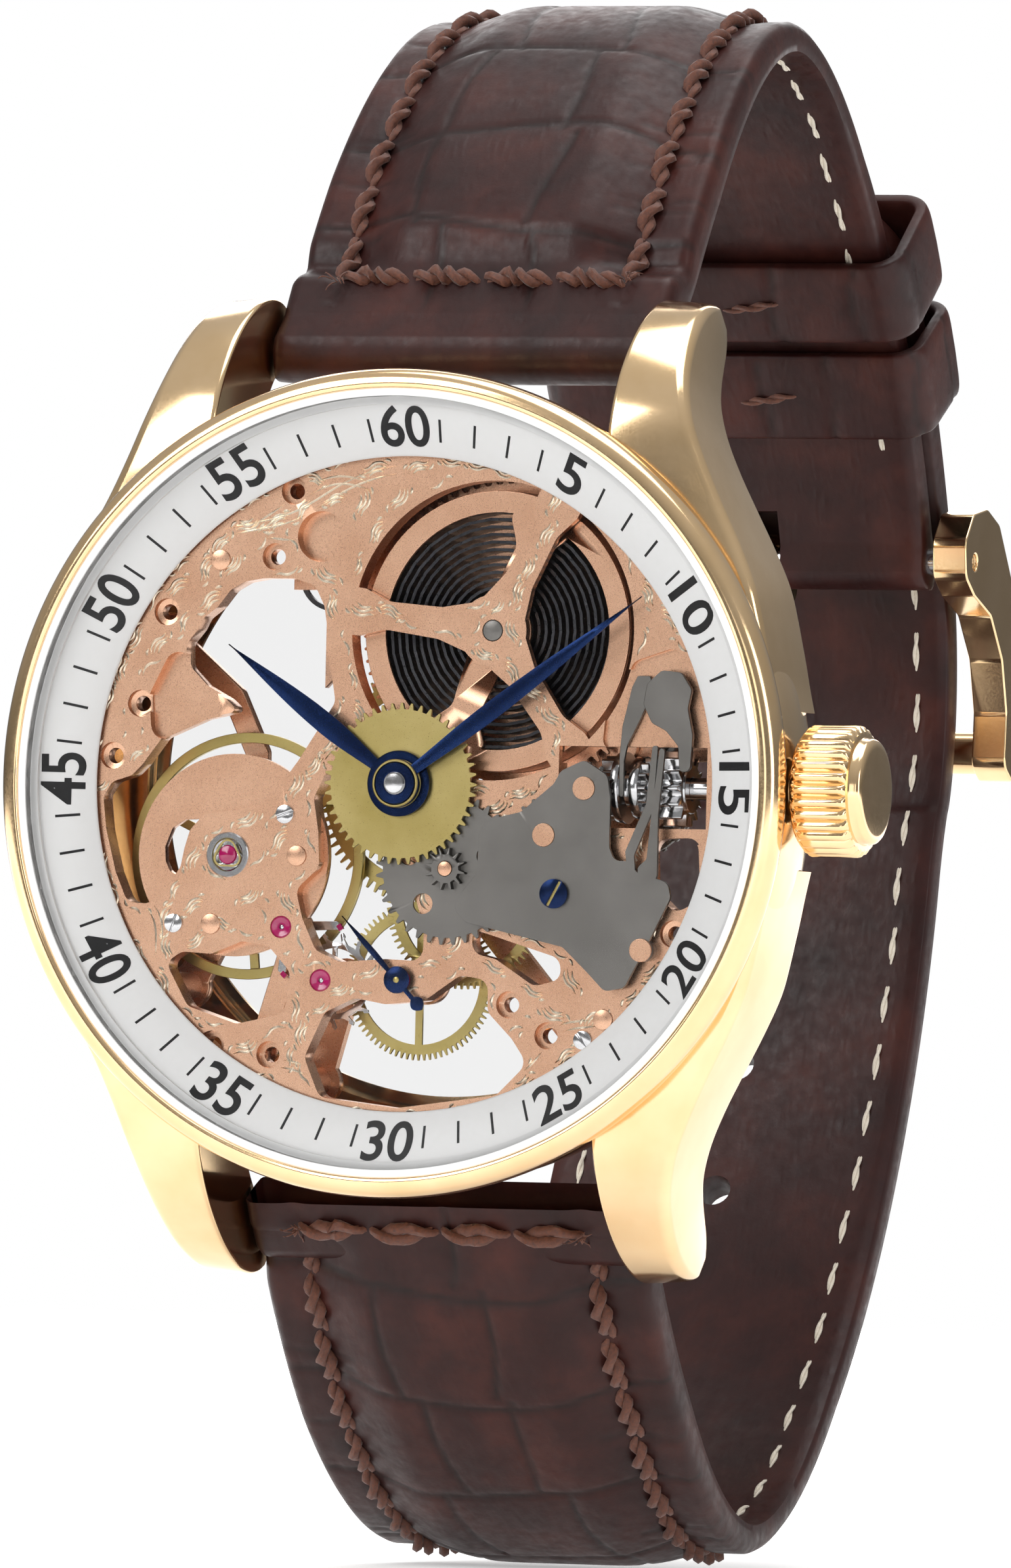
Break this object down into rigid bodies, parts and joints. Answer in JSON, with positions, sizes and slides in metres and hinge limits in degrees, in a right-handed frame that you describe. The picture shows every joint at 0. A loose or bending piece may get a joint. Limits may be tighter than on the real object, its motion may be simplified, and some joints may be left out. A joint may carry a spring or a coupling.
{
  "type": "wristwatch",
  "caption": "Skeleton wristwatch: yellow gold case, rose gold openworked movement, blued leaf hands, and a dark brown embossed leather strap buckled into a loop.",
  "frame": {"origin": "centre of the case back, where the axis of the hands meets the flat ring that rests on the wrist", "axes": "+Y from the case back to the wrist, +Z to 12 o'clock, +X to 3 o'clock and the crown"},
  "size_m": [0.0478, 0.0713, 0.0846],
  "materials": {
    "yellow_gold": "polished",
    "rose_gold": "satin",
    "gilt": "satin",
    "brushed_steel": "satin",
    "polished_steel": "polished",
    "blued_steel": "polished",
    "spring_steel": "satin",
    "ruby": "polished",
    "crystal": "polished",
    "white_ring": "satin",
    "leather": "satin",
    "gasket": "matte"
  },
  "bodies": {
    "head": {"case_middle": "yellow_gold", "bezel": "yellow_gold", "crystal": "crystal", "gaskets": "gasket", "minute_ring": "white_ring", "movement_ring": "brushed_steel", "case_back": "yellow_gold", "back_crystal": "crystal", "crown_tube": "yellow_gold", "main_plate": "rose_gold", "barrel_bridge": "rose_gold", "train_bridge": "rose_gold", "balance_cock": "rose_gold", "pallet_bridge": "rose_gold", "cover_plate": "brushed_steel", "cover_screw": "blued_steel", "plate_pins": "rose_gold", "plate_screws": "polished_steel", "jewels": "ruby", "shock_setting": "gilt", "click_spring": "spring_steel", "spring_bars": "polished_steel", "strap_12": "leather", "strap_6": "leather", "fixed_keeper": "leather"},
    "seal": {"crown_seal": "gasket"},
    "stem": {"crown": "yellow_gold", "winding_stem": "polished_steel"},
    "clutch": {"clutch_pinion": "polished_steel"},
    "winder": {"winding_pinion": "polished_steel"},
    "winding_wheel": {"crown_wheel": "brushed_steel"},
    "ratchet": {"ratchet_wheel": "brushed_steel", "barrel_arbor": "brushed_steel"},
    "pawl": {"click": "brushed_steel"},
    "barrel": {"barrel_drum": "rose_gold", "barrel_cover": "rose_gold", "mainspring": "spring_steel"},
    "centre": {"centre_wheel": "gilt", "cannon_pinion": "polished_steel", "minute_hand": "blued_steel"},
    "hour": {"hour_wheel": "gilt", "hour_hand": "blued_steel"},
    "motion_wheel": {"minute_wheel": "brushed_steel"},
    "setting_a": {"setting_wheel_a": "brushed_steel"},
    "setting_b": {"setting_wheel_b": "brushed_steel"},
    "third": {"third_wheel": "gilt"},
    "fourth": {"fourth_wheel": "gilt", "seconds_hand": "blued_steel"},
    "escape": {"escape_wheel": "polished_steel"},
    "fork": {"pallet_fork": "polished_steel", "pallet_stones": "ruby"},
    "balance": {"balance_wheel": "gilt", "hairspring": "blued_steel"},
    "lever": {"setting_lever": "brushed_steel"},
    "yoke_arm": {"yoke": "brushed_steel"},
    "index": {"regulator": "polished_steel"},
    "loose_keeper": {"free_keeper": "leather"},
    "buckle": {"buckle_frame": "yellow_gold", "buckle_bar": "polished_steel"},
    "tongue": {"buckle_tongue": "yellow_gold"}
  },
  "joints": [
    {"name": "crown_pull", "type": "slide", "parent": "head", "child": "seal", "axis": [1, 0, 0], "range_m": [0, 0.0011]},
    {"name": "crown_turn", "type": "hinge", "parent": "seal", "child": "stem", "pos_m": [0.02, -0.0062, 0], "axis": [1, 0, 0], "continuous": true},
    {"name": "clutch_slide", "type": "slide", "parent": "stem", "child": "clutch", "axis": [1, 0, 0], "range_m": [-0.0018, 0]},
    {"name": "winding_pinion_turn", "type": "hinge", "parent": "head", "child": "winder", "pos_m": [0.0146, -0.0062, 0], "axis": [1, 0, 0], "continuous": true},
    {"name": "crown_wheel_turn", "type": "hinge", "parent": "head", "child": "winding_wheel", "pos_m": [0.01115, -0.0034, 0], "axis": [0, 1, 0], "continuous": true},
    {"name": "ratchet_turn", "type": "hinge", "parent": "head", "child": "ratchet", "pos_m": [0.0048, -0.0034, 0.0082], "axis": [0, 1, 0], "continuous": true},
    {"name": "click_lift", "type": "hinge", "parent": "head", "child": "pawl", "pos_m": [-0.0032, -0.0034, 0.0126], "axis": [0, 1, 0], "range_deg": [0, 8], "stiffness_Nm_per_rad": 0.00002, "springref_deg": -1.15},
    {"name": "seconds", "type": "hinge", "parent": "head", "child": "fourth", "pos_m": [0, -0.005, -0.0104], "axis": [0, 1, 0], "continuous": true},
    {"name": "third_turn", "type": "hinge", "parent": "head", "child": "third", "pos_m": [0.0027, -0.0057, -0.0064], "axis": [0, 1, 0], "continuous": true},
    {"name": "minutes", "type": "hinge", "parent": "head", "child": "centre", "pos_m": [0, -0.0095, 0], "axis": [0, 1, 0], "continuous": true},
    {"name": "barrel_turn", "type": "hinge", "parent": "head", "child": "barrel", "pos_m": [0.0048, -0.005, 0.0082], "axis": [0, 1, 0], "continuous": true},
    {"name": "minute_wheel_turn", "type": "hinge", "parent": "head", "child": "motion_wheel", "pos_m": [0.00265, -0.00835, -0.00447], "axis": [0, 1, 0], "continuous": true},
    {"name": "hours", "type": "hinge", "parent": "head", "child": "hour", "pos_m": [0, -0.0091, 0], "axis": [0, 1, 0], "continuous": true},
    {"name": "setting_a_turn", "type": "hinge", "parent": "head", "child": "setting_a", "pos_m": [0.0082, -0.00835, -0.0026], "axis": [0, 1, 0], "continuous": true},
    {"name": "setting_b_turn", "type": "hinge", "parent": "head", "child": "setting_b", "pos_m": [0.0104, -0.00835, -0.0001], "axis": [0, 1, 0], "continuous": true},
    {"name": "escape_turn", "type": "hinge", "parent": "head", "child": "escape", "pos_m": [-0.0045, -0.006, -0.0105], "axis": [0, 1, 0], "continuous": true},
    {"name": "fork_swing", "type": "hinge", "parent": "head", "child": "fork", "pos_m": [-0.0068, -0.006, -0.0077], "axis": [0, 1, 0], "range_deg": [-3, 3]},
    {"name": "balance_swing", "type": "hinge", "parent": "head", "child": "balance", "pos_m": [-0.0099, -0.0051, -0.0039], "axis": [0, 1, 0], "range_deg": [-270, 270], "stiffness_Nm_per_rad": 0.0000006},
    {"name": "regulator_turn", "type": "hinge", "parent": "head", "child": "index", "pos_m": [-0.0099, -0.00345, -0.0039], "axis": [0, 1, 0], "range_deg": [-8, 8]},
    {"name": "setting_lever_turn", "type": "hinge", "parent": "head", "child": "lever", "pos_m": [0.0152, -0.0085, 0.0048], "axis": [0, 1, 0], "range_deg": [-16, 0]},
    {"name": "yoke_turn", "type": "hinge", "parent": "head", "child": "yoke_arm", "pos_m": [0.0133, -0.0081, 0.0053], "axis": [0, 1, 0], "range_deg": [0, 8]},
    {"name": "keeper_slide", "type": "slide", "parent": "head", "child": "loose_keeper", "axis": [0, -0.5889, 0.8082], "range_m": [0, 0.0025]},
    {"name": "buckle_swing", "type": "hinge", "parent": "head", "child": "buckle", "pos_m": [0, 0.0493, 0.0143], "axis": [1, 0, 0], "range_deg": [-1.5, 1.5]},
    {"name": "tongue_swing", "type": "hinge", "parent": "buckle", "child": "tongue", "pos_m": [0, 0.0493, 0.0143], "axis": [1, 0, 0], "range_deg": [0, 2.5]}
  ],
  "couplings": [
    {"joint": "clutch_slide", "follows": "crown_pull", "ratio": -1.6364},
    {"joint": "setting_lever_turn", "follows": "crown_pull", "rad_per_m": -250},
    {"joint": "yoke_turn", "follows": "crown_pull", "rad_per_m": 120},
    {"joint": "winding_pinion_turn", "follows": "crown_turn", "ratio": 1},
    {"joint": "crown_wheel_turn", "follows": "crown_turn", "ratio": -0.53846},
    {"joint": "ratchet_turn", "follows": "crown_turn", "ratio": 0.28},
    {"joint": "third_turn", "follows": "seconds", "ratio": -0.13333},
    {"joint": "minutes", "follows": "seconds", "ratio": 0.016667},
    {"joint": "barrel_turn", "follows": "seconds", "ratio": -0.0025641},
    {"joint": "minute_wheel_turn", "follows": "seconds", "ratio": -0.0055556},
    {"joint": "hours", "follows": "seconds", "ratio": 0.0013889},
    {"joint": "setting_a_turn", "follows": "seconds", "ratio": 0.011111},
    {"joint": "setting_b_turn", "follows": "seconds", "ratio": -0.016667},
    {"joint": "escape_turn", "follows": "seconds", "ratio": -10}
  ]
}
